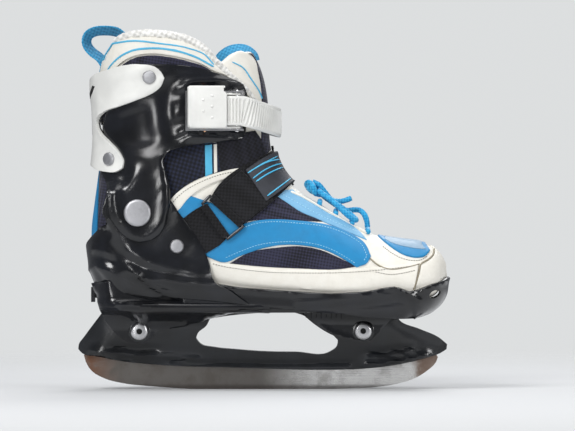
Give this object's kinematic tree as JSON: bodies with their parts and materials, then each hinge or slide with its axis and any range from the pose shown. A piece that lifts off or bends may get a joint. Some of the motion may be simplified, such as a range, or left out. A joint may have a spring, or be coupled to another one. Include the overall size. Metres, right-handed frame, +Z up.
{
  "type": "ice skate",
  "caption": "Adjustable children's ice skate: padded boot in a hinged hard shell, sliding toe, ladder buckle, instep strap, laces and a steel blade in a moulded holder.",
  "frame": {"origin": "middle of the blade's running edge, on the ice", "axes": "+X from the heel to the toe, +Z up along the blade's height, -Y towards the outer side of the foot, where the buckle is"},
  "size_m": [0.2748, 0.1038, 0.2689],
  "materials": {
    "black_plastic": "satin",
    "white_plastic": "satin",
    "blade_steel": "worn",
    "steel": "polished",
    "aluminium": "satin",
    "copper": "satin",
    "boot_foam": "matt",
    "lining": "matt",
    "black_webbing": "matt",
    "blue_webbing": "matt",
    "rubber": "matt",
    "blue_cord": "satin"
  },
  "bodies": {
    "skate": {"blade": "blade_steel", "blade_holder": "black_plastic", "rear_bolt": "steel", "rear_nut": "steel", "front_bolt": "steel", "front_nut": "steel", "heel_shell": "black_plastic", "strap_rivet_outer": "aluminium", "strap_rivet_inner": "aluminium", "pivot_rivet_outer": "aluminium", "pivot_rivet_inner": "aluminium", "boot_lower": "boot_foam", "footbed": "lining", "strap_anchor": "black_webbing", "instep_strap": "black_webbing", "strap_patch": "rubber", "strap_ring": "steel", "lace_knot": "blue_cord", "lace_bow": "blue_cord", "lace_arch": "blue_cord", "lace_end": "blue_cord"},
    "toe": {"toe_shell": "black_plastic", "boot_toe": "boot_foam"},
    "size_button": {"size_button": "black_plastic"},
    "cuff": {"cuff_outer": "black_plastic", "cuff_inner": "black_plastic", "back_brace": "white_plastic", "brace_rivet_upper_outer": "aluminium", "brace_rivet_upper_inner": "aluminium", "brace_rivet_lower_outer": "aluminium", "brace_rivet_lower_inner": "aluminium", "boot_shaft": "boot_foam", "tongue": "boot_foam", "heel_loop": "blue_webbing", "tongue_loop": "blue_webbing", "buckle_base": "steel", "lever_pin": "steel", "pawl_pin": "copper", "pawl_spring": "steel", "ladder_strap": "white_plastic", "ladder_rivet": "aluminium"},
    "buckle_lever": {"buckle_lever": "white_plastic"},
    "buckle_pawl": {"buckle_pawl": "white_plastic"}
  },
  "joints": [
    {"name": "cuff_flex", "type": "hinge", "parent": "skate", "child": "cuff", "pos_m": [-0.091, 0, 0.1302], "axis": [0, 1, 0], "range_deg": [-3, 8], "stiffness_Nm_per_rad": 6},
    {"name": "toe_slide", "type": "slide", "parent": "skate", "child": "toe", "axis": [1, 0, 0], "range_m": [0, 0.02]},
    {"name": "size_button_press", "type": "slide", "parent": "skate", "child": "size_button", "axis": [1, 0, 0], "range_m": [0, 0.0014], "stiffness_N_per_m": 900},
    {"name": "buckle_lever_swing", "type": "hinge", "parent": "cuff", "child": "buckle_lever", "pos_m": [-0.01813, -0.04323, 0.205], "axis": [0, 0, 1], "range_deg": [0, 90]},
    {"name": "buckle_pawl_release", "type": "hinge", "parent": "cuff", "child": "buckle_pawl", "pos_m": [-0.04169, -0.04593, 0.205], "axis": [0, 0, -1], "range_deg": [0, 10], "stiffness_Nm_per_rad": 0.02}
  ]
}
